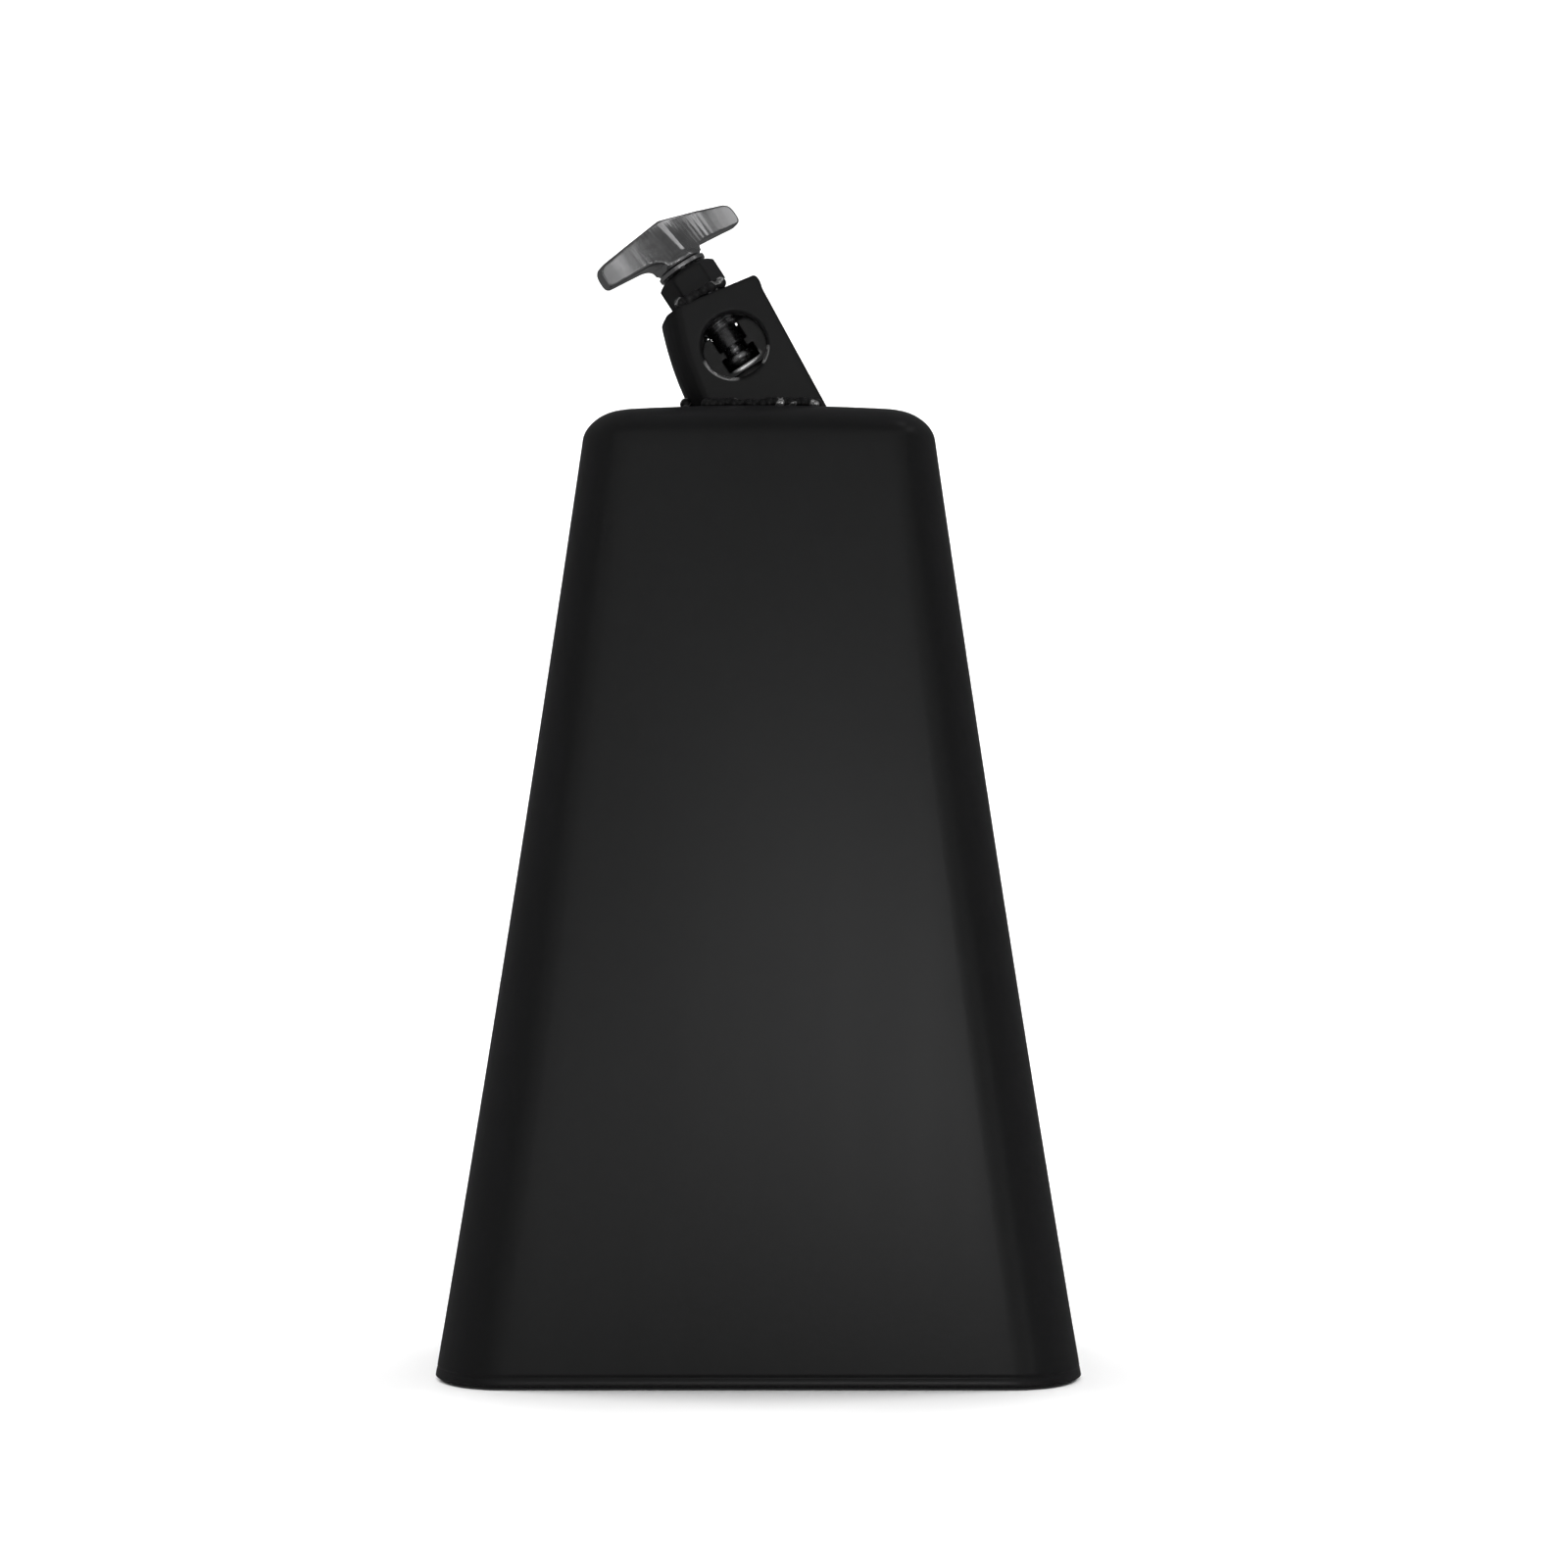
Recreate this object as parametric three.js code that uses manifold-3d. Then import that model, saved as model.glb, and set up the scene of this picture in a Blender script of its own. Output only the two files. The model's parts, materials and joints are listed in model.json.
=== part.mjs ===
// A mountable cowbell: a bell pressed from two sheet-steel halves and seam welded, with a channel
// bracket welded on top. A wing bolt runs through a welded nut and drives a pressure shoe, which
// clamps a mounting rod inside the bracket's round hole.
// Millimetres, +Z up, +X right, the playing face towards -Y, origin at the centre of the mouth.
import * as THREE from "three";
import { mergeVertices } from "three/addons/utils/BufferGeometryUtils.js";
import Module from "manifold-3d";

const wasm = await Module();
wasm.setup();

const GAP = 0.3; // clearance kept between pieces that touch

// Bell
const BELL_HEIGHT = 204.2;
const MOUTH_HALF_WIDTH = 67.6;
const SIDE_TAPER = 0.1642; // loss of half width per mm of height, at the mouth
const SIDE_CURVE = 6.16e-5; // how fast that taper eases towards the top
const MOUTH_HALF_DEPTH = 38;
const TOP_HALF_DEPTH = 20;
const MOUTH_CORNER = 15; // corner radius seen from above
const TOP_CORNER = 10;
const SHOULDER = 7; // rounding between the sides and the top
const TOP_CROWN = 1.3; // the top's rise between its ends and its middle
const SHEET = 1.5;
const SEAM_HALF_WIDTH = 1;
const SEAM_PROUD = 0.4; // how far a side seam stands out of the skin

// Bracket, an upright channel with its web on the left
const BRACKET_BASE = BELL_HEIGHT + GAP;
const PLATE = 3;
const CHANNEL_HALF_DEPTH = 8;
const CHANNEL_BEND = 5; // outer bend radius
const BASE_LEFT = -14.8;
const BASE_RIGHT = 14.6;
const WEB_TOP_LEFT = -21.1;
const WEB_TOP = 222.4;
const WEB_BULGE = 0.7; // how far the web bows out between its ends
const EAR_RIGHT = { x: 0.7, z: 230 }; // where the ear's straight right edge ends
const EAR_TIP = { x: -0.6, z: 233.1 };
const EAR_TOP_SLOPE = 22.8; // degrees
const HOLE = { x: -5.3, z: 217.8 };
const HOLE_RADIUS = 6.9;
const HOLE_CHAMFER = 0.5;
const BEAD_RADIUS = 1.9;

// Clamp, measured along the bolt's axis from the centre of the rod hole
const BOLT_TILT = 33; // degrees left of upright
const NUT_SEAT = 13.4;
const NUT_BASE = NUT_SEAT + GAP;
const NUT_HEIGHT = 6.5;
const NUT_FLATS = 12;
const NUT_BEAD_RADIUS = 1.6;
const STUD_RADIUS = 4;
const WASHER_BASE = NUT_BASE + NUT_HEIGHT + GAP;
const WASHER_THICKNESS = 0.9;
const WASHER_RADIUS = 5.6;
const HEAD_BASE = WASHER_BASE + WASHER_THICKNESS + GAP;
const HEAD_TOP = 32.3;
const HEAD_TURN = -33; // degrees of the wings about the bolt: the left wing comes forward
const WING_REACH = 19.6;
const STUD_TOP = HEAD_BASE + 4.3;
const SHANK_RADIUS = 2.6; // the stud's plain end, fixed in the wing head
const SHOE_BASE = -5.6;
const SHOE_HEIGHT = 10;
const SHOE_HALF_WIDTH = 7.2;
const SHOE_HALF_DEPTH = 4.7;
const BUTTON_BASE = -3.9; // the stud's domed end, held in the shoe's slot
const BUTTON_TOP = -1.4;
const BUTTON_RADIUS = 3.6;
const NECK_RADIUS = 2.2;
const NECK_TOP = 0.8;
const DOG_RADIUS = 3.1; // the plain end of the stud between its thread and its neck
const THREAD_END = 4.8;

const finish = (color, roughness, metalness) => () =>
  new THREE.MeshStandardMaterial({ color, roughness, metalness });
const blackPaint = finish(0x1b1b1d, 0.42, 0.3);
const weldPaint = finish(0x151517, 0.25, 0.3);
const chrome = finish(0xc9cacc, 0.18, 1);
const darkSteel = finish(0x34353a, 0.4, 0.9);

const radians = THREE.MathUtils.degToRad;

// The bolt's own frame: its axis is local Z, and its X lies in the plane of the ears.
const boltFrame = new THREE.Matrix4()
  .makeRotationY(radians(-BOLT_TILT))
  .setPosition(HOLE.x, 0, HOLE.z);

function solid(geometry) {
  const bare = geometry.clone();
  bare.deleteAttribute("normal");
  bare.deleteAttribute("uv");
  const merged = mergeVertices(bare, 1e-4);
  return new wasm.Manifold(
    new wasm.Mesh({
      numProp: 3,
      vertProperties: merged.attributes.position.array,
      triVerts: new Uint32Array(merged.index.array),
    }),
  );
}

function meshFrom(name, body, material) {
  const { vertProperties, triVerts } = body.getMesh();
  const geometry = new THREE.BufferGeometry();
  geometry.setAttribute("position", new THREE.BufferAttribute(vertProperties, 3));
  geometry.setIndex(new THREE.BufferAttribute(triVerts, 1));
  geometry.computeVertexNormals();
  const mesh = new THREE.Mesh(geometry, material);
  mesh.name = name;
  return mesh;
}

function box(low, high) {
  const size = high.map((value, k) => value - low[k]);
  const geometry = new THREE.BoxGeometry(...size);
  geometry.translate(...low.map((value, k) => value + size[k] / 2));
  return solid(geometry);
}

// A cylinder, or a cone, along local Z.
function round(radiusLow, radiusHigh, low, high, sides = 48) {
  const geometry = new THREE.CylinderGeometry(radiusHigh, radiusLow, high - low, sides);
  geometry.rotateX(Math.PI / 2);
  geometry.translate(0, 0, (low + high) / 2);
  return geometry;
}

// A prism along Y from a shape drawn in X and Z.
function prismAlongY(shape, halfDepth, curveSegments = 12) {
  const geometry = new THREE.ExtrudeGeometry(shape, {
    depth: 2 * halfDepth,
    bevelEnabled: false,
    curveSegments,
  });
  geometry.rotateX(Math.PI / 2);
  geometry.translate(0, halfDepth, 0);
  return geometry;
}

// A closed skin over level rings: a cylinder whose rows and columns are moved to where ring() says.
// A ring is a rounded rectangle from left to right with its own corner radii on both sides.
const CORNER_STEPS = 6;
function ringedForm(rings) {
  const columns = 4 * (CORNER_STEPS + 1);
  const rows = rings.length - 1;
  const geometry = new THREE.CylinderGeometry(1, 1, 1, columns, rows);
  const position = geometry.attributes.position;
  for (let k = 0; k < position.count; k++) {
    const [x, y, z] = [position.getX(k), position.getY(k), position.getZ(k)];
    const ring = rings[Math.round((y + 0.5) * rows)];
    const centre = (ring.left + ring.right) / 2;
    if (Math.hypot(x, z) < 0.5) {
      position.setXYZ(k, centre, 0, ring.height(centre));
      continue;
    }
    const column = Math.round((Math.atan2(x, z) / (2 * Math.PI)) * columns + columns) % columns;
    const quarter = Math.floor(column / (CORNER_STEPS + 1));
    const turn = ((quarter + (column % (CORNER_STEPS + 1)) / CORNER_STEPS) * Math.PI) / 2;
    const onRight = quarter < 2;
    const radius = onRight ? ring.rightCorner : ring.leftCorner;
    const cornerX = onRight ? ring.right - radius : ring.left + radius;
    const cornerY = (quarter === 0 || quarter === 3 ? -1 : 1) * (ring.halfDepth - radius);
    const placeX = cornerX + radius * Math.sin(turn);
    const placeY = cornerY - radius * Math.cos(turn);
    position.setXYZ(k, placeX, placeY, ring.height(placeX));
  }
  return solid(geometry);
}

function skinHalfWidth(level) {
  return MOUTH_HALF_WIDTH - SIDE_TAPER * level + SIDE_CURVE * level ** 2;
}

// One ring of the bell: pulled in by a distance, its ends lowered by the crown, then shrunk.
function bellRing(level, pull, crown, shrink) {
  const rise = level / BELL_HEIGHT;
  const halfWidth = (skinHalfWidth(level) - pull) * shrink;
  const skinHalfDepth = THREE.MathUtils.lerp(MOUTH_HALF_DEPTH, TOP_HALF_DEPTH, rise);
  const corner = (THREE.MathUtils.lerp(MOUTH_CORNER, TOP_CORNER, rise) - pull) * shrink;
  return {
    left: -halfWidth,
    right: halfWidth,
    halfDepth: (skinHalfDepth - pull) * shrink,
    leftCorner: corner,
    rightCorner: corner,
    height: (x) => level - crown * TOP_CROWN * (x / skinHalfWidth(BELL_HEIGHT)) ** 2,
  };
}

// The bell's outer form, or the same form a given distance inside it.
function bellForm(inside, foot) {
  const sideRows = 8;
  const shoulderRows = 5;
  const crownRows = 3;
  const top = BELL_HEIGHT - inside;
  const shoulder = SHOULDER - inside;
  const rings = [];
  for (let k = 0; k <= sideRows; k++) {
    const level = THREE.MathUtils.lerp(foot, top - shoulder, k / sideRows);
    rings.push(bellRing(level, inside, 0, 1));
  }
  for (let k = 1; k <= shoulderRows; k++) {
    const turn = (k / shoulderRows) * (Math.PI / 2);
    const level = top - shoulder + shoulder * Math.sin(turn);
    rings.push(bellRing(level, inside + shoulder * (1 - Math.cos(turn)), Math.sin(turn), 1));
  }
  for (let k = 1; k <= crownRows; k++) {
    rings.push(bellRing(top, inside + shoulder, 1, 1 - k / (crownRows + 1)));
  }
  return ringedForm(rings);
}

function bellSkin(proud) {
  return bellForm(-proud, 0).subtract(bellForm(SHEET, -10));
}

function shell(name, side) {
  const seam = SEAM_HALF_WIDTH + GAP;
  const reach = [-100, side < 0 ? -60 : seam, -1];
  const limit = [100, side < 0 ? -seam : 60, BELL_HEIGHT + 10];
  return meshFrom(name, bellSkin(0).intersect(box(reach, limit)), blackPaint());
}

const SIDE_SEAM_TOP = BELL_HEIGHT - SHOULDER - 4;

function sideSeam(name, side) {
  const low = [side < 0 ? -100 : 0, -SEAM_HALF_WIDTH, -1];
  const high = [side < 0 ? 0 : 100, SEAM_HALF_WIDTH, SIDE_SEAM_TOP];
  return meshFrom(name, bellSkin(SEAM_PROUD).intersect(box(low, high)), weldPaint());
}

// The seam over the top is ground flush, because the bracket stands across it.
function topSeam() {
  const low = [-100, -SEAM_HALF_WIDTH, SIDE_SEAM_TOP + GAP];
  const high = [100, SEAM_HALF_WIDTH, BELL_HEIGHT + 10];
  return meshFrom("top_seam_weld", bellSkin(0).intersect(box(low, high)), weldPaint());
}

// A point in the plane of the ears, from its place across and along the bolt's axis.
function fromBolt(across, along) {
  return new THREE.Vector3(across, 0, along).applyMatrix4(boltFrame);
}

// The height of the ear's sloping top edge above a place x.
function earTopAt(x) {
  return EAR_TIP.z + (x - EAR_TIP.x) * Math.tan(radians(EAR_TOP_SLOPE));
}

// How far left the web's outer face is at a height.
function webLeftAt(z) {
  const rise = (z - BRACKET_BASE) / (WEB_TOP - BRACKET_BASE);
  return THREE.MathUtils.lerp(BASE_LEFT, WEB_TOP_LEFT, rise) - 4 * WEB_BULGE * rise * (1 - rise);
}

function earOutline() {
  const seatLeft = fromBolt(-8.6, NUT_SEAT);
  const seatSlope = Math.tan(radians(BOLT_TILT));
  const topSlope = Math.tan(radians(EAR_TOP_SLOPE));
  // where the sloping top edge meets the flat that is cut for the nut
  const seatRightX =
    (EAR_TIP.z - topSlope * EAR_TIP.x - seatLeft.z + seatSlope * seatLeft.x) / (seatSlope - topSlope);
  const outline = new THREE.Shape();
  outline.moveTo(BASE_RIGHT, BRACKET_BASE);
  outline.lineTo(EAR_RIGHT.x, EAR_RIGHT.z);
  outline.quadraticCurveTo(EAR_TIP.x + 0.4, EAR_TIP.z + 0.4, EAR_TIP.x - 1.2, earTopAt(EAR_TIP.x - 1.2));
  outline.lineTo(seatRightX, earTopAt(seatRightX));
  outline.lineTo(seatLeft.x, seatLeft.z);
  outline.lineTo(WEB_TOP_LEFT, WEB_TOP);
  const webSteps = 6;
  for (let k = webSteps - 1; k >= 0; k--) {
    const z = THREE.MathUtils.lerp(BRACKET_BASE, WEB_TOP, k / webSteps);
    outline.lineTo(webLeftAt(z), z);
  }
  outline.closePath();
  return outline;
}

// The channel's outer form, or its hollow, with bends of the matching radius along the web.
function channelForm(inside, low) {
  const rows = 10;
  const high = EAR_TIP.z + 5;
  const rings = [];
  for (let k = 0; k <= rows; k++) {
    const level = THREE.MathUtils.lerp(low, high, k / rows);
    rings.push({
      left: webLeftAt(level) + inside,
      right: BASE_RIGHT + 5 + inside,
      halfDepth: CHANNEL_HALF_DEPTH - inside,
      leftCorner: CHANNEL_BEND - inside,
      rightCorner: 1,
      height: () => level,
    });
  }
  return ringedForm(rings);
}

function earBlock() {
  return solid(prismAlongY(earOutline(), CHANNEL_HALF_DEPTH));
}

function alongEarHole(geometry) {
  geometry.rotateX(Math.PI / 2);
  geometry.translate(HOLE.x, 0, HOLE.z);
  return solid(geometry);
}

function clampBracket() {
  const face = CHANNEL_HALF_DEPTH;
  const flare = HOLE_RADIUS + HOLE_CHAMFER;
  const bore = alongEarHole(round(HOLE_RADIUS, HOLE_RADIUS, -face - 1, face + 1));
  const frontChamfer = alongEarHole(round(HOLE_RADIUS, flare + 1, face - HOLE_CHAMFER, face + 1));
  const rearChamfer = alongEarHole(round(flare + 1, HOLE_RADIUS, -face - 1, HOLE_CHAMFER - face));
  const body = channelForm(0, BRACKET_BASE)
    .intersect(earBlock())
    .subtract(channelForm(PLATE, BRACKET_BASE - 3))
    .subtract(bore)
    .subtract(frontChamfer)
    .subtract(rearChamfer);
  return meshFrom("clamp_bracket", body, blackPaint());
}

// A weld laid as overlapping lumps from one end to the other.
function bead(start, end, lumps, radius) {
  let body = null;
  for (let k = 0; k < lumps; k++) {
    const lump = new THREE.SphereGeometry(radius, 12, 8);
    const place = start.clone().lerp(end, k / (lumps - 1));
    lump.translate(place.x, place.y, place.z);
    body = body ? body.add(solid(lump)) : solid(lump);
  }
  return body;
}

function earWeld(name, side) {
  const y = side * (CHANNEL_HALF_DEPTH + 0.4);
  const start = new THREE.Vector3(BASE_LEFT + 4, y, BRACKET_BASE);
  const end = new THREE.Vector3(BASE_RIGHT - 2.6, y, BRACKET_BASE);
  const wall = side * (CHANNEL_HALF_DEPTH + GAP);
  const low = [-30, side < 0 ? wall - 5 : wall, BRACKET_BASE];
  const high = [30, side < 0 ? wall : wall + 5, BRACKET_BASE + 5];
  const body = bead(start, end, 12, BEAD_RADIUS).intersect(box(low, high));
  return meshFrom(name, body, weldPaint());
}

function webWeld() {
  const x = BASE_LEFT - 0.6;
  const start = new THREE.Vector3(x, -4.5, BRACKET_BASE);
  const end = new THREE.Vector3(x, 4.5, BRACKET_BASE);
  const above = box([-30, -10, BRACKET_BASE], [BASE_LEFT - GAP, 10, BRACKET_BASE + 5]);
  const web = channelForm(-GAP, BRACKET_BASE - 3);
  const body = bead(start, end, 4, BEAD_RADIUS).intersect(above).subtract(web);
  return meshFrom("bracket_weld_left", body, weldPaint());
}

// A six-sided prism about the bolt's axis, with two flats parallel to the ears.
function hexagon(flats, low, high) {
  return solid(round(flats / Math.sqrt(3), flats / Math.sqrt(3), low, high, 6).rotateZ(Math.PI / 2));
}

function weldNut() {
  const top = NUT_BASE + NUT_HEIGHT;
  const chamferReach = 6;
  const chamferRadius = NUT_FLATS / 2 - 0.9;
  const flare = chamferReach / Math.tan(radians(30));
  const chamfer = solid(round(chamferRadius + flare, chamferRadius, top - chamferReach, top));
  const bore = solid(round(STUD_RADIUS + GAP, STUD_RADIUS + GAP, NUT_BASE - 1, top + 1));
  const body = hexagon(NUT_FLATS, NUT_BASE, top).intersect(chamfer).subtract(bore);
  return meshFrom("weld_nut", body.transform(boltFrame.elements), blackPaint());
}

// A short weld on the ear's top edge, along the nut's flat.
function nutWeld(name, side) {
  const y = side * (NUT_FLATS / 2 + 1);
  const start = new THREE.Vector3(-4.6, y, NUT_BASE + 0.1);
  const end = new THREE.Vector3(4.6, y, NUT_BASE - 0.7);
  const outside = side * (NUT_FLATS / 2 + GAP);
  const low = [-20, side < 0 ? outside - 5 : outside, -20];
  const high = [20, side < 0 ? outside : outside + 5, 40];
  const lifted = earBlock().translate([-GAP, 0, 1.3 * GAP]);
  const beads = bead(start, end, 5, NUT_BEAD_RADIUS).intersect(box(low, high));
  return meshFrom(name, beads.transform(boltFrame.elements).subtract(lifted), weldPaint());
}

function thrustWasher() {
  const outline = [
    [STUD_RADIUS + GAP, WASHER_BASE],
    [WASHER_RADIUS, WASHER_BASE],
    [WASHER_RADIUS, WASHER_BASE + WASHER_THICKNESS],
    [STUD_RADIUS + GAP, WASHER_BASE + WASHER_THICKNESS],
    [STUD_RADIUS + GAP, WASHER_BASE],
  ];
  return latheOnBolt("thrust_washer", outline, chrome());
}

function latheSolid(outline, steps = 40) {
  const points = outline.map(([radius, along]) => new THREE.Vector2(radius, along));
  return solid(new THREE.LatheGeometry(points, steps).rotateX(Math.PI / 2));
}

function latheOnBolt(name, outline, material) {
  return meshFrom(name, latheSolid(outline).transform(boltFrame.elements), material);
}

// Threaded rod with a slimmer shank in the head, a plain end and a domed button on a neck.
function threadedStud() {
  const dome = 1.2;
  const threadChamfer = 0.7;
  const outline = [
    [0, BUTTON_BASE],
    [BUTTON_RADIUS * 0.4, BUTTON_BASE + dome * 0.1],
    [BUTTON_RADIUS * 0.75, BUTTON_BASE + dome * 0.42],
    [BUTTON_RADIUS, BUTTON_BASE + dome],
    [BUTTON_RADIUS, BUTTON_TOP],
    [NECK_RADIUS, BUTTON_TOP],
    [NECK_RADIUS, NECK_TOP],
    [DOG_RADIUS, NECK_TOP],
    [DOG_RADIUS, THREAD_END],
    [STUD_RADIUS - threadChamfer, THREAD_END],
    [STUD_RADIUS, THREAD_END + threadChamfer],
    [STUD_RADIUS, HEAD_BASE - GAP],
    [SHANK_RADIUS, HEAD_BASE - GAP],
    [SHANK_RADIUS, STUD_TOP],
    [0, STUD_TOP],
  ];
  return latheOnBolt("threaded_stud", outline, darkSteel());
}

// The wings seen along their thickness: radius across, height along the bolt.
function wingOutline() {
  const root = { x: 5, z: HEAD_BASE + 0.5 }; // where the wing's lower edge leaves the hub
  const filletEnd = { x: 9, z: HEAD_BASE + 2.5 };
  const tipFoot = HEAD_BASE + 2.3;
  const tipTop = HEAD_TOP - 3.3;
  const lowRounding = 1.5;
  const highRounding = 2.4;
  const shape = new THREE.Shape();
  shape.moveTo(0, root.z);
  shape.lineTo(root.x, root.z);
  shape.quadraticCurveTo(root.x, filletEnd.z, filletEnd.x, filletEnd.z);
  shape.lineTo(WING_REACH - lowRounding, tipFoot);
  shape.quadraticCurveTo(WING_REACH, tipFoot, WING_REACH, tipFoot + lowRounding);
  shape.lineTo(WING_REACH, tipTop - highRounding);
  shape.quadraticCurveTo(WING_REACH, tipTop, WING_REACH - highRounding, tipTop + 0.4);
  shape.lineTo(0, HEAD_TOP);
  shape.closePath();
  return shape;
}

// The wings seen from their top: a ridge in the middle of each face sweeps out into slim tips.
function wingPlan() {
  const ridge = { x: 0.7, y: 4.7 }; // half the width of its flat crest, and how far out it stands
  const waist = { x: 4.9, y: 2.1 };
  const tip = 1.25;
  const end = WING_REACH + 1;
  const plan = new THREE.Shape();
  plan.moveTo(0, -ridge.y);
  plan.lineTo(ridge.x, -ridge.y);
  plan.quadraticCurveTo(waist.x, -waist.y, end, -tip);
  plan.lineTo(end, tip);
  plan.quadraticCurveTo(waist.x, waist.y, ridge.x, ridge.y);
  plan.lineTo(0, ridge.y);
  plan.closePath();
  return plan;
}

// The wings' thickness: the ridge is drawn in towards the top of the head.
function wingThickness() {
  const topRidge = 2.2;
  const geometry = new THREE.ExtrudeGeometry(wingPlan(), {
    depth: HEAD_TOP - HEAD_BASE,
    bevelEnabled: false,
    curveSegments: 14,
  });
  geometry.translate(0, 0, HEAD_BASE);
  const position = geometry.attributes.position;
  for (let k = 0; k < position.count; k++) {
    if (position.getZ(k) > HEAD_BASE + 1) {
      position.setY(k, THREE.MathUtils.clamp(position.getY(k), -topRidge, topRidge));
    }
  }
  return solid(geometry);
}

function wingHead() {
  const wing = solid(prismAlongY(wingOutline(), 6)).intersect(wingThickness());
  const hub = latheSolid([
    [0, HEAD_BASE],
    [5.2, HEAD_BASE],
    [5.2, HEAD_BASE + 0.9],
    [4.2, HEAD_BASE + 1.9],
    [3.4, STUD_TOP + GAP],
    [0, HEAD_TOP - 2.5],
  ]);
  const bore = SHANK_RADIUS + GAP;
  const socket = solid(round(bore, bore, HEAD_BASE - 1, STUD_TOP + GAP));
  const turned = new THREE.Matrix4().makeRotationZ(radians(-HEAD_TURN));
  const body = wing
    .add(wing.rotate([0, 0, 180]))
    .add(hub)
    .subtract(socket)
    .transform(turned.elements)
    .transform(boltFrame.elements);
  return meshFrom("wing_head", body, chrome());
}

// The shoe slides between the ears and hangs on the stud's button by a slot open to the front.
function pressureShoe() {
  const top = SHOE_BASE + SHOE_HEIGHT;
  const wide = SHOE_HALF_WIDTH;
  const cut = 2.2; // the slant on the upper corners
  const rounding = 1.2; // of the lower corners
  const profile = new THREE.Shape();
  profile.moveTo(rounding - wide, SHOE_BASE);
  profile.lineTo(wide - rounding, SHOE_BASE);
  profile.quadraticCurveTo(wide, SHOE_BASE, wide, SHOE_BASE + rounding);
  profile.lineTo(wide, top - cut);
  profile.lineTo(wide - cut, top);
  profile.lineTo(cut - wide, top);
  profile.lineTo(-wide, top - cut);
  profile.lineTo(-wide, SHOE_BASE + rounding);
  profile.quadraticCurveTo(-wide, SHOE_BASE, rounding - wide, SHOE_BASE);
  const slot = (radius, low, high) =>
    solid(round(radius, radius, low, high, 32)).add(box([-radius, -10, low], [radius, 0, high]));
  const body = solid(prismAlongY(profile, SHOE_HALF_DEPTH, 5))
    .subtract(slot(DOG_RADIUS + GAP, NECK_TOP - GAP, top + 1))
    .subtract(slot(NECK_RADIUS + GAP, BUTTON_TOP, NECK_TOP))
    .subtract(slot(BUTTON_RADIUS + GAP, BUTTON_BASE - GAP, BUTTON_TOP + GAP));
  return meshFrom("pressure_shoe", body.transform(boltFrame.elements), darkSteel());
}

const cowbell = new THREE.Group();
cowbell.add(
  shell("front_shell", -1),
  shell("rear_shell", 1),
  sideSeam("left_seam_weld", -1),
  sideSeam("right_seam_weld", 1),
  topSeam(),
  clampBracket(),
  earWeld("bracket_weld_front", -1),
  earWeld("bracket_weld_rear", 1),
  webWeld(),
  weldNut(),
  nutWeld("nut_weld_front", -1),
  nutWeld("nut_weld_rear", 1),
  pressureShoe(),
  threadedStud(),
  thrustWasher(),
  wingHead(),
);

export default cowbell;
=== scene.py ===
"""Looks of the mountable cowbell: painted shells, weld beads, the bracket and its chrome wing bolt."""

import json
import math
import random

import bmesh
import bpy
from mathutils import Matrix, Vector


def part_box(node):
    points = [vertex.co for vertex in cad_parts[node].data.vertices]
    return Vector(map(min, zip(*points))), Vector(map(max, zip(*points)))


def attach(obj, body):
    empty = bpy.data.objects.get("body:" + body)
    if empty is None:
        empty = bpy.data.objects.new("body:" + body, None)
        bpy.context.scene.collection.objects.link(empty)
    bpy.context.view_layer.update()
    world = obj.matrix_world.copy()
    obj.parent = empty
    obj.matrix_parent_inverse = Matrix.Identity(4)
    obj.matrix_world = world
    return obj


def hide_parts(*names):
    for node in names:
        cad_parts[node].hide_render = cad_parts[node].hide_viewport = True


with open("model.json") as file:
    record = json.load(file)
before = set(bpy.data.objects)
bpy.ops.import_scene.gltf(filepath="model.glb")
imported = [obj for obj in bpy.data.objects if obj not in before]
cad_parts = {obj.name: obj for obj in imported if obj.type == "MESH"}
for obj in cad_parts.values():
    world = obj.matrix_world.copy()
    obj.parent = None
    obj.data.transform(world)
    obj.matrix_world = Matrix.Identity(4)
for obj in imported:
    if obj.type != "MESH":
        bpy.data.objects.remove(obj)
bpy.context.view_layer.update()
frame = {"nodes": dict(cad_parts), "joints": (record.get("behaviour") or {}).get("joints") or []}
MM = 0.001

# The bell's form. Its outer sizes come from the front shell's box.
shell_low, shell_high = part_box("front_shell")
BELL_HEIGHT = shell_high.z
MOUTH_HALF_WIDTH = shell_high.x
MOUTH_HALF_DEPTH = -shell_low.y
TOP_HALF_DEPTH = 20 * MM
SIDE_TAPER = 0.1642  # loss of half width per unit of height, at the mouth
SIDE_CURVE = 0.0616  # how fast that taper eases towards the top, per metre
MOUTH_CORNER = 15 * MM
TOP_CORNER = 10 * MM
SHOULDER = 7 * MM
TOP_CROWN = 1.3 * MM
SHEET = 1.5 * MM
FACE_BULGE = 0.6 * MM
SEAM_CLEARANCE = 0.05 * MM
SHELL_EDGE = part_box("right_seam_weld")[1].y + SEAM_CLEARANCE  # each half's distance from the middle
LIP_START = 0.3 * MM  # the skin's lowest ring, a little up so that the sheet stays above the floor
CREASE_LOW, CREASE_HIGH, CREASE_DEPTH = 1.9 * MM, 2.2 * MM, 0.15 * MM  # a fine line above the lip
CREASE_SOFTNESS = 0.2 * MM

# The bolt's axis, from the turning joint.
wing_joint = next(j for j in frame["joints"] if j["name"] == "wing_turn")
BOLT_AXIS = Vector(wing_joint["axis"]).normalized()
HOLE_CENTRE = Vector(wing_joint["pos_m"])
ACROSS = Vector((0, 1, 0)).cross(BOLT_AXIS).normalized()
BOLT_FRAME = Matrix((ACROSS, (0, 1, 0), BOLT_AXIS)).transposed().to_4x4()
BOLT_FRAME.translation = HOLE_CENTRE

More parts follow.
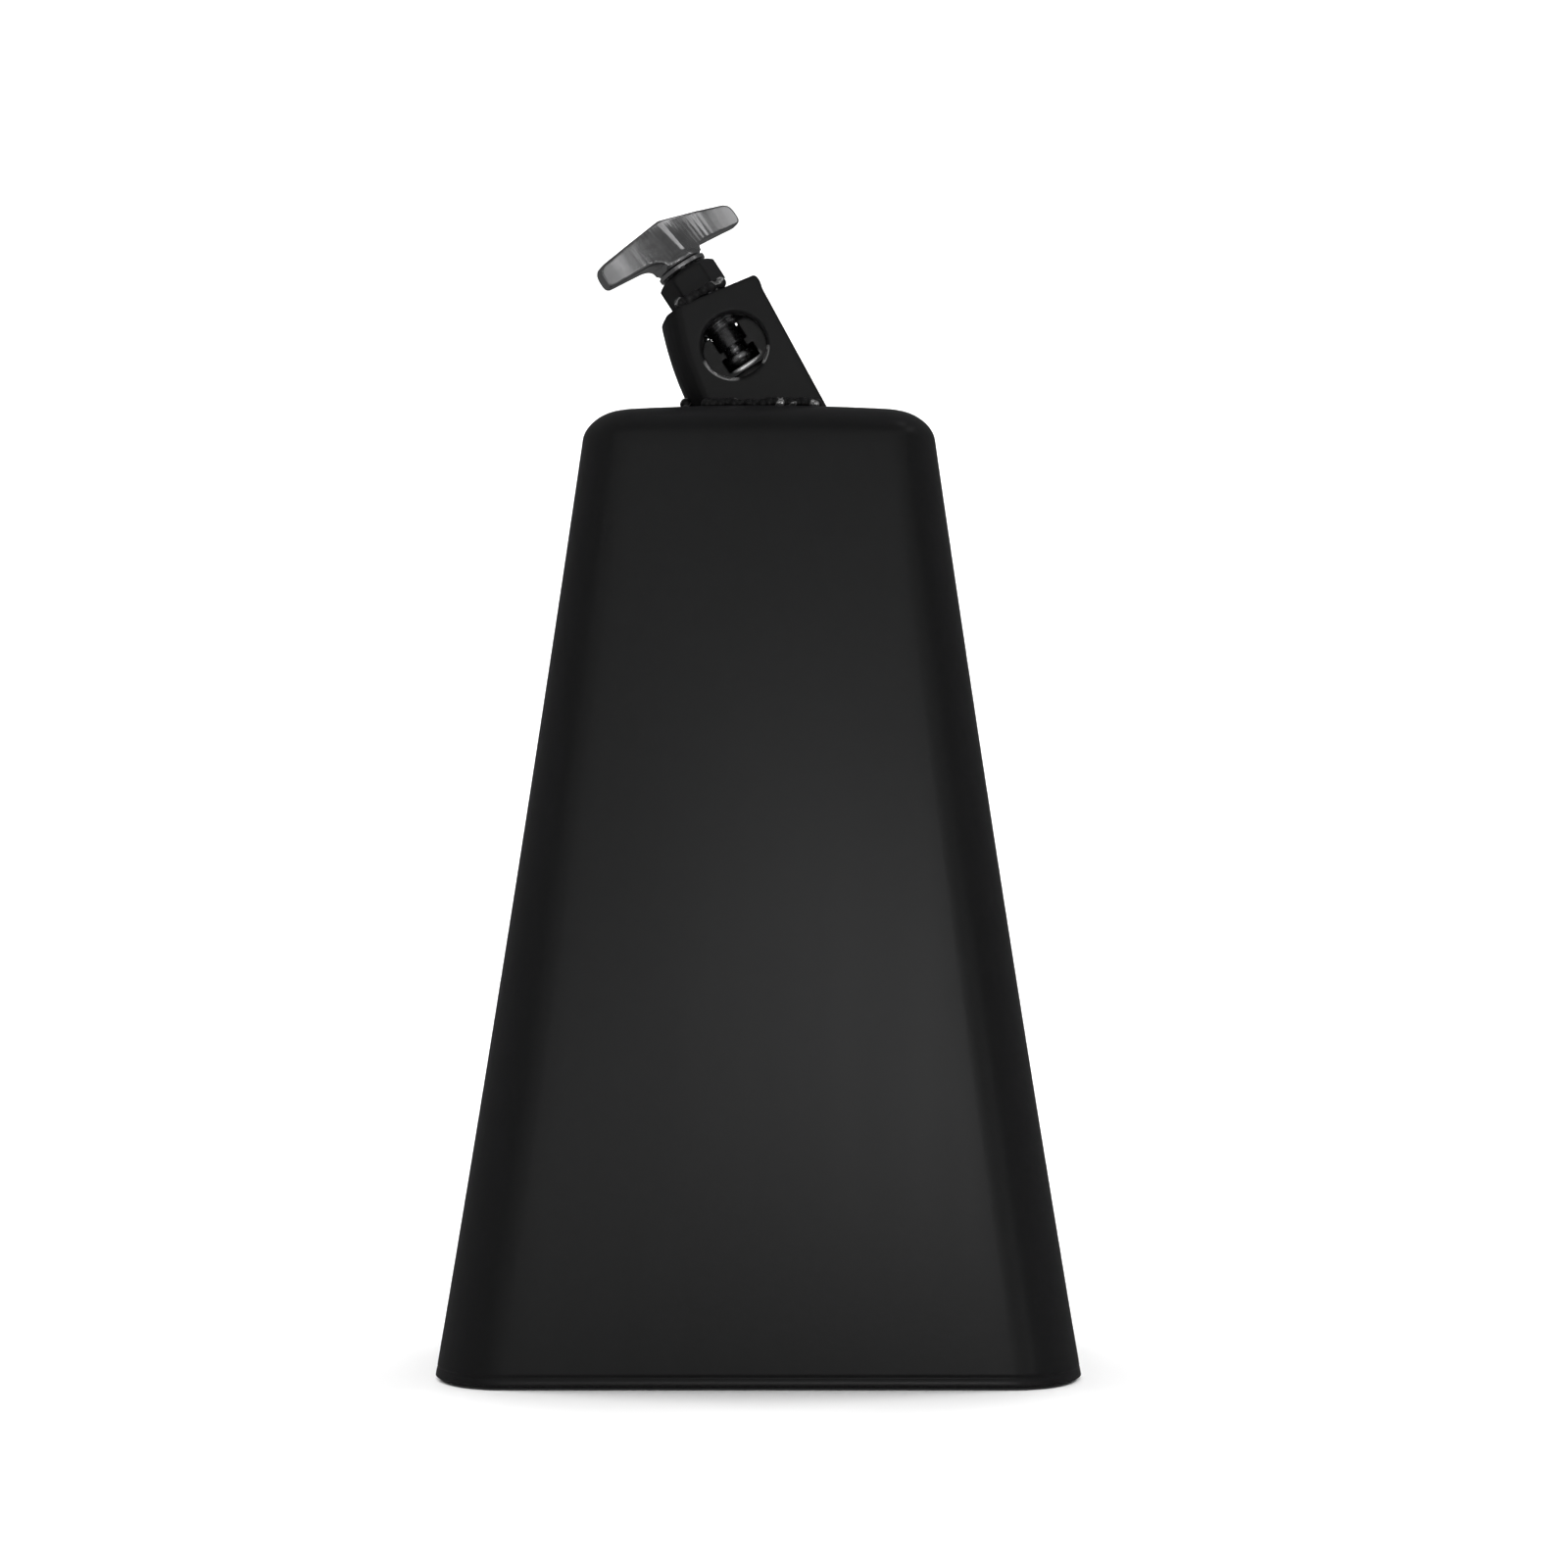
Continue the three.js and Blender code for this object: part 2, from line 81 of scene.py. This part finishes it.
# The stud, along the bolt's axis from the centre of the rod hole, in millimetres.
BUTTON_BASE, BUTTON_TOP, BUTTON_RADIUS = -3.9, -1.4, 3.6
NECK_TOP, NECK_RADIUS = 0.82, 2.2
DOG_RADIUS = 3.1  # the plain end between the neck and the thread
THREAD_FOOT, THREAD_TOP = 4.8, 21.1
THREAD_PITCH, THREAD_MAJOR, THREAD_MINOR = 1.25, 4.0, 3.3
SHANK_TOP, SHANK_RADIUS = 26.0, 2.6


# --- materials ---------------------------------------------------------------------------------


def start_material(name, color, roughness, metallic):
    material = bpy.data.materials.new(name)
    material.use_nodes = True
    shader = material.node_tree.nodes["Principled BSDF"]
    shader.inputs["Base Color"].default_value = (*color, 1)
    shader.inputs["Roughness"].default_value = roughness
    shader.inputs["Metallic"].default_value = metallic
    return material, shader


def mapped_noise(tree, scale, stretch=(1, 1, 1), detail=3.0):
    """Noise over the object's own coordinates, in cells per metre."""
    nodes, links = tree.nodes, tree.links
    coords = nodes.new("ShaderNodeTexCoord")
    mapping = nodes.new("ShaderNodeMapping")
    mapping.inputs["Scale"].default_value = stretch
    texture = nodes.new("ShaderNodeTexNoise")
    texture.inputs["Scale"].default_value = scale
    texture.inputs["Detail"].default_value = detail
    links.new(coords.outputs["Object"], mapping.inputs["Vector"])
    links.new(mapping.outputs["Vector"], texture.inputs["Vector"])
    return texture.outputs["Fac"]


def ranged(tree, value, low, high, start=0.3, end=0.7):
    """value, spread from start..end to low..high."""
    spread = tree.nodes.new("ShaderNodeMapRange")
    spread.inputs["From Min"].default_value = start
    spread.inputs["From Max"].default_value = end
    spread.inputs["To Min"].default_value = low
    spread.inputs["To Max"].default_value = high
    tree.links.new(value, spread.inputs["Value"])
    return spread.outputs["Result"]


def colored(tree, value, dark, light):
    ramp = tree.nodes.new("ShaderNodeValToRGB")
    ramp.color_ramp.elements[0].position = 0.3
    ramp.color_ramp.elements[0].color = (*dark, 1)
    ramp.color_ramp.elements[1].position = 0.7
    ramp.color_ramp.elements[1].color = (*light, 1)
    tree.links.new(value, ramp.inputs["Fac"])
    return ramp.outputs["Color"]


def bumped(tree, shader, height, strength, distance):
    bump = tree.nodes.new("ShaderNodeBump")
    bump.inputs["Strength"].default_value = strength
    bump.inputs["Distance"].default_value = distance
    tree.links.new(height, bump.inputs["Height"])
    tree.links.new(bump.outputs["Normal"], shader.inputs["Normal"])


def powder_coat():
    """Black satin powder coat: fine orange peel, and faint streaks up the bell."""
    material, shader = start_material("black_powder_coat", (0.009, 0.009, 0.0095), 0.3, 0)
    tree = material.node_tree
    streaks = mapped_noise(tree, 110, (1, 0.2, 0.04), 1)
    tree.links.new(ranged(tree, streaks, 0.29, 0.31), shader.inputs["Roughness"])
    tone = colored(tree, streaks, (0.0085, 0.0085, 0.009), (0.0095, 0.0095, 0.0102))
    tree.links.new(tone, shader.inputs["Base Color"])
    bumped(tree, shader, mapped_noise(tree, 900, detail=2), 0.12, 0.1 * MM)
    return material


def rim_highlight_coat():
    """The bracket's coat, with painted highlights: two strokes of bright steel on the rim of its rod
    hole.
    """
    material = powder_coat()
    material.name = "powder_coat_with_painted_highlights"
    tree = material.node_tree
    shader = tree.nodes["Principled BSDF"]
    shader.inputs["Specular IOR Level"].default_value = 0.36
    paint_color = shader.inputs["Base Color"].links[0].from_socket
    # The two bright steel strokes on the rim are painted highlights.
    centre = HOLE_CENTRE + Vector((0, -8, 0)) * MM
    low_highlight_middle = centre + Vector((-3.2, 0, -6.4)) * MM
    right_highlight_middle = centre + Vector((6.9, 0, -2)) * MM
    low = near_arc(tree, centre, 7.25 * MM, 0.55 * MM, low_highlight_middle, 4.6 * MM)
    right = near_arc(tree, centre, 7.2 * MM, 0.45 * MM, right_highlight_middle, 2.2 * MM)
    highlight_mask = tree.nodes.new("ShaderNodeMath")
    highlight_mask.operation = "MAXIMUM"
    tree.links.new(low, highlight_mask.inputs[0])
    tree.links.new(right, highlight_mask.inputs[1])
    bare_steel_wear_and_highlight(tree, shader, paint_color, highlight_mask.outputs["Value"])
    return material


def weld_paint(name, chips_and_glints):
    """Glossy paint over rough beads; on request, bright steel flecks at random that are partly worn-off
    paint and partly painted glints.
    """
    material, shader = start_material(name, (0.01, 0.01, 0.011), 0.18, 0)
    tree = material.node_tree
    lumps = mapped_noise(tree, 500, detail=2)
    tone = colored(tree, lumps, (0.008, 0.008, 0.0085), (0.014, 0.014, 0.0145))
    if chips_and_glints:
        # The flecks of bright steel are partly worn-off paint and partly painted glints.
        chip_and_glint_mask = ranged(tree, mapped_noise(tree, 330, detail=1), 0, 1, 0.6, 0.66)
        bare_steel_wear_and_highlight(tree, shader, tone, chip_and_glint_mask)
    else:
        tree.links.new(tone, shader.inputs["Base Color"])
        tree.links.new(ranged(tree, lumps, 0.16, 0.3), shader.inputs["Roughness"])
    bumped(tree, shader, lumps, 0.3, 0.2 * MM)
    return material


def near_arc(tree, centre, radius, width, middle, reach):
    """1 within width of an arc round centre, fading out at a distance reach from the arc's middle."""
    nodes, links = tree.nodes, tree.links
    coords = nodes.new("ShaderNodeTexCoord")

    def distance_to(point):
        gauge = nodes.new("ShaderNodeVectorMath")
        gauge.operation = "DISTANCE"
        gauge.inputs[1].default_value = point
        links.new(coords.outputs["Object"], gauge.inputs[0])
        return gauge.outputs["Value"]

    def math_node(operation, first, second):
        node = nodes.new("ShaderNodeMath")
        node.operation = operation
        links.new(first, node.inputs[0])
        if isinstance(second, float):
            node.inputs[1].default_value = second
        else:
            links.new(second, node.inputs[1])
        return node.outputs["Value"]

    away = math_node("SUBTRACT", distance_to(centre), float(radius))
    off = math_node("ABSOLUTE", away, 0.0)
    across = ranged(tree, off, 1, 0, 0.4 * width, width)
    along = ranged(tree, distance_to(middle), 1, 0, 0.5 * reach, reach)
    return math_node("MULTIPLY", across, along)


def bare_steel_wear_and_highlight(tree, shader, paint_color, mask):
    """Bright bare steel where mask is 1; here it draws painted highlights, and bead flecks that are
    partly wear and partly painted glints.
    """
    blend = tree.nodes.new("ShaderNodeMix")
    blend.data_type = "RGBA"
    tree.links.new(mask, blend.inputs["Factor"])
    tree.links.new(paint_color, blend.inputs["A"])
    blend.inputs["B"].default_value = (0.8, 0.8, 0.8, 1)
    tree.links.new(blend.outputs["Result"], shader.inputs["Base Color"])
    tree.links.new(mask, shader.inputs["Metallic"])
    tree.links.new(ranged(tree, mask, 0.32, 0.16, 0, 1), shader.inputs["Roughness"])


def cast_chrome():
    """Polished plating over a die casting, with a faint waviness."""
    material, shader = start_material("cast_chrome", (0.72, 0.72, 0.73), 0.14, 1)
    tree = material.node_tree
    waves = mapped_noise(tree, 260, detail=3)
    tree.links.new(ranged(tree, waves, 0.16, 0.26), shader.inputs["Roughness"])
    tone = colored(tree, waves, (0.62, 0.62, 0.63), (0.78, 0.78, 0.79))
    tree.links.new(tone, shader.inputs["Base Color"])
    bumped(tree, shader, waves, 0.12, 0.1 * MM)
    return material


def black_oxide():
    """Blackened steel, with a painted highlight of bright steel along the lower edge of the shoe's
    slot.
    """
    material, shader = start_material("black_oxide_steel", (0.02, 0.02, 0.021), 0.4, 0)
    tree = material.node_tree
    grain = mapped_noise(tree, 700, detail=4)
    tree.links.new(ranged(tree, grain, 0.3, 0.42), shader.inputs["Roughness"])
    tone = colored(tree, grain, (0.006, 0.006, 0.006), (0.012, 0.012, 0.0125))
    # The arc of bright steel on the slot's lower edge is a painted highlight.
    centre = HOLE_CENTRE + Vector((-4, -4.7, 5.7)) * MM
    middle = HOLE_CENTRE + Vector((2.9, -4.7, -3.4)) * MM
    bare_steel_wear_and_highlight(tree, shader, tone, near_arc(tree, centre, 11.5 * MM, 0.75 * MM, middle, 4 * MM))
    bumped(tree, shader, grain, 0.2, 0.1 * MM)
    return material


def turned_steel():
    """Zinc-plated steel with fine turning marks round the bolt."""
    material, shader = start_material("turned_steel", (0.5, 0.5, 0.51), 0.3, 1)
    tree = material.node_tree
    marks = mapped_noise(tree, 1200, detail=3)
    tree.links.new(ranged(tree, marks, 0.22, 0.36), shader.inputs["Roughness"])
    tone = colored(tree, marks, (0.42, 0.42, 0.43), (0.58, 0.58, 0.59))
    tree.links.new(tone, shader.inputs["Base Color"])
    bumped(tree, shader, marks, 0.15, 0.08 * MM)
    return material


PAINT = powder_coat()
BRACKET_PAINT = rim_highlight_coat()
SEAM_PAINT = weld_paint("seam_paint", False)
BEAD_PAINT = weld_paint("bead_paint_wear_and_glints", True)
CHROME = cast_chrome()
OXIDE = black_oxide()
STEEL = turned_steel()


# --- building blocks ---------------------------------------------------------------------------


def add_piece(name, mesh, material, body, slot, *nodes):
    piece = bpy.data.objects.new(name, mesh)
    bpy.context.scene.collection.objects.link(piece)
    mesh.materials.clear()
    mesh.materials.append(material)
    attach(piece, body)
    if nodes:
        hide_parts(*nodes)
    return piece


def mesh_from(name, points, faces):
    mesh = bpy.data.meshes.new(name)
    mesh.from_pydata(points, [], faces)
    mesh.update()
    mesh.polygons.foreach_set("use_smooth", [True] * len(mesh.polygons))
    return mesh


def softened(piece, voxel, rounds):
    """Rounds every edge of a closed piece, as a casting or thick paint does."""
    skin = piece.modifiers.new("skin", "REMESH")
    skin.mode = "VOXEL"
    skin.voxel_size = voxel
    skin.use_smooth_shade = True
    soften = piece.modifiers.new("soften", "SMOOTH")
    soften.factor = 0.5
    soften.iterations = rounds


def soft_copy(name, node, voxel, rounds, material, body, slot):
    mesh = frame["nodes"][node].data.copy()
    mesh.name = name
    softened(add_piece(name, mesh, material, body, slot, node), voxel, rounds)


# --- bell --------------------------------------------------------------------------------------

CORNER_STEPS = 12
FACE_STEPS = 24
SIDE_STEPS = 12
SIDE_ROWS = 70
SHOULDER_ROWS = 12
CROWN_ROWS = 16


def half_width(z):
    return MOUTH_HALF_WIDTH - SIDE_TAPER * z + SIDE_CURVE * z * z


def ring_points(level, pull, crown, shrink):
    """One level ring of the bell's skin, anticlockwise seen from above, from the front right corner."""
    rise = level / BELL_HEIGHT
    wide = half_width(level) - pull
    deep = MOUTH_HALF_DEPTH + (TOP_HALF_DEPTH - MOUTH_HALF_DEPTH) * rise - pull
    corner = MOUTH_CORNER + (TOP_CORNER - MOUTH_CORNER) * rise - pull
    top_width = half_width(BELL_HEIGHT)
    bulge = FACE_BULGE * math.sin(math.pi * min(max(rise, 0), 1))
    centres = [(wide - corner, corner - deep), (wide - corner, deep - corner)]
    centres += [(corner - wide, deep - corner), (corner - wide, corner - deep)]
    points = []
    for quarter, (x, y) in enumerate(centres):
        for step in range(CORNER_STEPS + 1):
            turn = (quarter + step / CORNER_STEPS) * math.pi / 2
            points.append((x + corner * math.sin(turn), y - corner * math.cos(turn)))
        end = points[-1]
        next_x, next_y = centres[(quarter + 1) % 4]
        next_turn = (quarter + 1) * math.pi / 2
        start = (next_x + corner * math.sin(next_turn), next_y - corner * math.cos(next_turn))
        steps = SIDE_STEPS if quarter % 2 == 0 else FACE_STEPS
        for step in range(1, steps):
            part = step / steps
            x_here = end[0] + (start[0] - end[0]) * part
            y_here = end[1] + (start[1] - end[1]) * part
            if quarter % 2:
                y_here += math.copysign(bulge * 4 * part * (1 - part), y_here)
            points.append((x_here, y_here))
    ring = []
    for x, y in points:
        x, y = x * shrink, y * shrink
        ring.append((x, y, level - crown * TOP_CROWN * (x / top_width) ** 2))
    return ring


def bell_skin():
    rings = []
    side_top = BELL_HEIGHT - SHOULDER
    rings.append(ring_points(LIP_START, 0, 0, 1))
    rings.append(ring_points(CREASE_LOW - CREASE_SOFTNESS, 0, 0, 1))
    rings.append(ring_points(CREASE_LOW, CREASE_DEPTH, 0, 1))
    rings.append(ring_points(CREASE_HIGH, CREASE_DEPTH, 0, 1))
    rings.append(ring_points(CREASE_HIGH + CREASE_SOFTNESS, 0, 0, 1))
    for row in range(1, SIDE_ROWS + 1):
        rings.append(ring_points(side_top * row / SIDE_ROWS, 0, 0, 1))
    for row in range(1, SHOULDER_ROWS + 1):
        turn = row / SHOULDER_ROWS * math.pi / 2
        level = side_top + SHOULDER * math.sin(turn)
        rings.append(ring_points(level, SHOULDER * (1 - math.cos(turn)), math.sin(turn), 1))
    for row in range(1, CROWN_ROWS):
        rings.append(ring_points(BELL_HEIGHT, SHOULDER, 1, 1 - row / CROWN_ROWS))
    columns = len(rings[0])
    points = [point for ring in rings for point in ring] + [(0, 0, BELL_HEIGHT)]
    faces = []
    for row in range(len(rings) - 1):
        for column in range(columns):
            after = (column + 1) % columns
            low, high = row * columns, (row + 1) * columns
            faces.append((low + column, low + after, high + after, high + column))
    last = (len(rings) - 1) * columns
    for column in range(columns):
        faces.append((last + column, last + (column + 1) % columns, len(points) - 1))
    return points, faces


def make_shell(name, side):
    points, faces = bell_skin()
    mesh = mesh_from(name, points, faces)
    work = bmesh.new()
    work.from_mesh(mesh)
    cut = Vector((0, side * SHELL_EDGE, 0))
    everything = work.verts[:] + work.edges[:] + work.faces[:]
    inward = Vector((0, -side, 0))
    bmesh.ops.bisect_plane(work, geom=everything, plane_co=cut, plane_no=inward, clear_outer=True)
    work.to_mesh(mesh)
    work.free()
    piece = add_piece(name, mesh, PAINT, "bell", "black_paint", name.replace("_skin", "_shell"))
    thick = piece.modifiers.new("sheet", "SOLIDIFY")
    thick.thickness = SHEET
    thick.offset = -1
    edges = piece.modifiers.new("edges", "BEVEL")
    edges.width = 0.35 * MM
    edges.segments = 3
    edges.limit_method = "ANGLE"
    edges.angle_limit = math.radians(50)


def sweep(name, route, section):
    """A closed strip: at each place on the route, a ring of points given by section(place index)."""
    points, faces = [], []
    sides = len(section(0))
    for index in range(len(route)):
        points += section(index)
    for index in range(len(route) - 1):
        for side in range(sides):
            after = (side + 1) % sides
            low, high = index * sides, (index + 1) * sides
            faces.append((low + side, low + after, high + after, high + side))
    faces.append(tuple(reversed(range(sides))))
    faces.append(tuple(range(len(points) - sides, len(points))))
    return mesh_from(name, points, faces)


def seam_weld(name, node, side):
    """A low rippled bead up the bell's side, between the shells."""
    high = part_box(node)[1]
    half = high.y
    start = 0.1 * MM
    proud, sunk, ripple_length = 0.4 * MM, 0.1 * MM, 2.2 * MM
    steps, arc_steps = 240, 8
    levels = [start + (high.z - start) * k / steps for k in range(steps + 1)]

    def section(index):
        level = levels[index]
        skin = half_width(level)
        ripple = 0.85 + 0.15 * math.sin(level / ripple_length * 2 * math.pi)
        inner = side * (skin - SHEET)
        ring = [Vector((inner, half, level)), Vector((inner, -half, level))]
        for step in range(arc_steps + 1):
            part = 2 * step / arc_steps - 1
            height = (1 - part * part) ** 0.5 if abs(part) < 1 else 0
            outer = side * (skin - sunk + proud * ripple * height)
            ring.append(Vector((outer, half * part, level)))
        return ring if side > 0 else ring[::-1]

    mesh = sweep(name, levels, section)
    add_piece(name, mesh, SEAM_PAINT, "bell", "painted_weld", node)


# --- clamp -------------------------------------------------------------------------------------


def weld_bead(name, node, start, end, radius, seed):
    """Uneven overlapping lumps from start to end, melted into one bead."""
    draw = random.Random(seed)
    work = bmesh.new()
    spacing = 1.3 * radius
    count = max(3, round((end - start).length / spacing))
    for k in range(count + 1):
        size = radius * draw.uniform(0.8, 1.15)
        stray = Vector([draw.uniform(-1, 1) for _ in range(3)]) * 0.15 * radius
        place = start.lerp(end, k / count) + stray
        bmesh.ops.create_icosphere(work, subdivisions=3, radius=size, matrix=Matrix.Translation(place))
    mesh = bpy.data.meshes.new(name)
    work.to_mesh(mesh)
    work.free()
    piece = add_piece(name, mesh, BEAD_PAINT, "bell", "painted_weld", node)
    softened(piece, 0.16 * MM, 3)


def bolt_point(across, forward, along):
    return BOLT_FRAME @ Vector((across * MM, forward * MM, along * MM))


def thread_mesh(name):
    """The stud: domed button, neck, plain end, right-hand M8 thread and shank, one closed skin."""
    sides = 48
    rings_per_turn = 10
    axis_radius = 0.02  # the end rings stop just short of the axis
    foot, top = THREAD_FOOT, THREAD_TOP
    chamfer = 0.2
    foot_rings = [(axis_radius, BUTTON_BASE), (0.4 * BUTTON_RADIUS, BUTTON_BASE + 0.12)]
    foot_rings += [(2.3, BUTTON_BASE + 0.34), (2.95, BUTTON_BASE + 0.7), (3.4, BUTTON_BASE + 1.1)]
    foot_rings += [(BUTTON_RADIUS, BUTTON_BASE + 1.45), (BUTTON_RADIUS, BUTTON_TOP - 0.1)]
    foot_rings += [(BUTTON_RADIUS - 0.1, BUTTON_TOP), (NECK_RADIUS, BUTTON_TOP + 0.02)]
    foot_rings += [(NECK_RADIUS, NECK_TOP), (DOG_RADIUS - chamfer, NECK_TOP + 0.03)]
    foot_rings += [(DOG_RADIUS, NECK_TOP + 0.23), (DOG_RADIUS, foot)]
    shank_rings = [(SHANK_RADIUS, top + 0.05), (SHANK_RADIUS, SHANK_TOP - 0.3)]
    shank_rings += [(SHANK_RADIUS - 0.3, SHANK_TOP), (axis_radius, SHANK_TOP)]
    points, faces = [], []

    def turned(along, radius_at):
        for side in range(sides):
            part = side / sides
            radius = radius_at(part)
            angle = 2 * math.pi * part
            points.append(bolt_point(radius * math.cos(angle), radius * math.sin(angle), along))

    for radius, along in foot_rings:
        turned(along, lambda part: radius)
    rows = int((top - foot) / THREAD_PITCH * rings_per_turn)
    for row in range(1, rows + 1):
        along = foot + (top - foot) * row / rows
        fade = min(1, (along - foot) / 1.5, (top - along) / 0.8 + 0.2)

        def flank(part):
            phase = (along / THREAD_PITCH - part) % 1
            crest = min(1, max(0, 1.6 * (1 - abs(2 * phase - 1)) - 0.15))
            return THREAD_MINOR + (THREAD_MAJOR - THREAD_MINOR) * crest * fade

        turned(along, flank)
    for radius, along in shank_rings:
        turned(along, lambda part: radius)
    for ring in range(len(points) // sides - 1):
        for side in range(sides):
            after = (side + 1) % sides
            low, high = ring * sides, (ring + 1) * sides
            faces.append((low + side, low + after, high + after, high + side))
    faces.append(tuple(reversed(range(sides))))
    faces.append(tuple(range(len(points) - sides, len(points))))
    return mesh_from(name, points, faces)


def ear_bead(node, side):
    """The bead along the foot of an ear, inside the CAD weld's own box."""
    radius, inset, lift, forward = 1.15 * MM, 1.4 * MM, 0.6 * MM, 0.7 * MM
    low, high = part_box(node)
    y = (low.y if side > 0 else high.y) + side * forward
    start = Vector((low.x + inset, y, low.z + lift))
    end = Vector((high.x - inset, y, low.z + lift))
    weld_bead(node.replace("weld", "bead"), node, start, end, radius, 3 + side)


def web_bead(node):
    """The bead across the foot of the bracket's web."""
    radius, inset, lift, back = 1.4 * MM, 1.8 * MM, 0.8 * MM, 0.6 * MM
    low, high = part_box(node)
    start = Vector((high.x - back, low.y + inset, low.z + lift))
    end = Vector((high.x - back, high.y - inset, low.z + lift))
    weld_bead(node.replace("weld_left", "bead_left"), node, start, end, radius, 9)


def nut_bead(node, side):
    """The bead between the nut's flat and the ear's top edge."""
    radius, reach, out = 1.35 * MM, 4.8, 6.9
    low_along, high_along = 13.0, 13.9
    start = bolt_point(-reach, side * out, high_along)
    end = bolt_point(reach, side * out, low_along)
    weld_bead(node.replace("weld", "bead"), node, start, end, radius, 20 + side)


make_shell("front_skin", -1)
make_shell("rear_skin", 1)
seam_weld("left_seam_bead", "left_seam_weld", -1)
seam_weld("right_seam_bead", "right_seam_weld", 1)
soft_copy("top_seam_bead", "top_seam_weld", 0.3 * MM, 2, SEAM_PAINT, "bell", "painted_weld")

soft_copy("bracket_plate", "clamp_bracket", 0.22 * MM, 5, BRACKET_PAINT, "bell", "black_paint")
ear_bead("bracket_weld_front", -1)
ear_bead("bracket_weld_rear", 1)
web_bead("bracket_weld_left")
nut_bead("nut_weld_front", -1)
nut_bead("nut_weld_rear", 1)

soft_copy("painted_nut", "weld_nut", 0.16 * MM, 22, BRACKET_PAINT, "bell", "black_paint")
soft_copy("rod_shoe", "pressure_shoe", 0.16 * MM, 3, OXIDE, "shoe", "dark_steel")
soft_copy("wing_casting", "wing_head", 0.2 * MM, 12, CHROME, "wing_bolt", "bright_chrome")
soft_copy("washer_ring", "thrust_washer", 0.1 * MM, 2, CHROME, "wing_bolt", "bright_chrome")
add_piece("stud", thread_mesh("stud"), STEEL, "wing_bolt", "stud_steel", "threaded_stud")


# --- stage -------------------------------------------------------------------------------------


def stage_sweep():
    """A floor that curves up into a backdrop."""
    depth_front, depth_back, wall, bend, bend_steps = 3.2, 1.6, 2.6, 0.8, 16
    profile = [(-depth_front, 0)]
    for step in range(bend_steps + 1):
        turn = step / bend_steps * math.pi / 2
        profile.append((depth_back - bend + bend * math.sin(turn), bend - bend * math.cos(turn)))
    profile.append((depth_back, wall))
    reach = 4
    clearance = 0.5 * MM  # the floor lies just under the lip
    points, faces = [], []
    for y, z in profile:
        points += [(-reach, y, z - clearance), (reach, y, z - clearance)]
    for k in range(len(profile) - 1):
        faces.append((2 * k, 2 * k + 1, 2 * k + 3, 2 * k + 2))
    floor = bpy.data.objects.new("floor", mesh_from("floor", points, faces))
    bpy.context.scene.collection.objects.link(floor)
    material, shader = start_material("pale_floor", (0.92, 0.92, 0.92), 0.9, 0)
    shader.inputs["Specular IOR Level"].default_value = 0.1
    floor.data.materials.append(material)
    floor.visible_glossy = False


def soft_light(name, place, target, size, power, size_y=None):
    lamp = bpy.data.lights.new(name, "AREA")
    lamp.shape = "RECTANGLE"
    lamp.size = size
    lamp.size_y = size_y or size
    lamp.energy = power
    light = bpy.data.objects.new(name, lamp)
    light.location = place
    light.rotation_euler = (Vector(target) - Vector(place)).to_track_quat("-Z", "Y").to_euler()
    bpy.context.scene.collection.objects.link(light)
    return light


def studio():
    """Lights on the playing face, panels in front, small ones for the wing head, and a pale room."""
    wing_centre = (0, 0, 0.245)
    soft_light("key", (0.12, -1.35, 0.2), (0.12, 0, 0.2), 0.24, 0.42, 0.24)
    soft_light("left_fill", (-0.18, -1.35, 0.16), (-0.18, 0, 0.16), 0.1, 0.08, 0.16)
    soft_light("front_fill", (0, -2.6, 1.25), (0, 0, 0.3), 4, 2.7, 1.6)
    soft_light("low_left_fill", (-0.95, -2.6, 0.15), (0, 0, 0.1), 1.1, 0.2, 0.6)
    soft_light("low_right_fill", (0.85, -2.6, 0.15), (0, 0, 0.1), 1.1, 0.3, 0.6)
    soft_light("glint", (-0.027, -1.35, 0.397), HOLE_CENTRE, 0.09, 0.035)
    soft_light("wing_light", (0.864, -0.294, 1.007), wing_centre, 0.24, 0.12)
    soft_light("crest_light", (0.556, -0.236, 1.27), wing_centre, 0.16, 0.09)
    soft_light("right_edge_fill", (0.85, -1.1, 0.12), (0, 0, 0.08), 0.25, 0.1, 0.4)
    soft_light("band_light", (0.73, -0.64, 0.93), wing_centre, 0.1, 0.035)
    for side in (-1, 1):
        name = "backdrop_left" if side < 0 else "backdrop_right"
        wash = soft_light(name, (side * 1.6, 0.5, 1.6), (0, 1.6, 0.6), 1.2, 45)
        wash.visible_glossy = False
    overhead = soft_light("overhead", (0, 0.2, 1.6), (0, 0.2, 0), 1.2, 14)
    overhead.visible_glossy = False
    world = bpy.data.worlds.new("studio")
    world.use_nodes = True
    world.node_tree.nodes["Background"].inputs["Color"].default_value = (0.5, 0.5, 0.5, 1)
    world.node_tree.nodes["Background"].inputs["Strength"].default_value = 0.16
    bpy.context.scene.world = world
    bpy.context.scene.view_settings.view_transform = "Standard"


def photo_camera():
    """Level, straight on, a little right of the bell's middle."""
    lens = bpy.data.cameras.new("camera")
    lens.sensor_width = 36
    lens.lens = 72
    camera = bpy.data.objects.new("camera", lens)
    camera.location = (0.00535, -0.68, 0.1237)
    camera.rotation_euler = (math.pi / 2, 0, 0)
    bpy.context.scene.collection.objects.link(camera)
    bpy.context.scene.camera = camera


stage_sweep()
studio()
photo_camera()

bpy.context.view_layer.update()
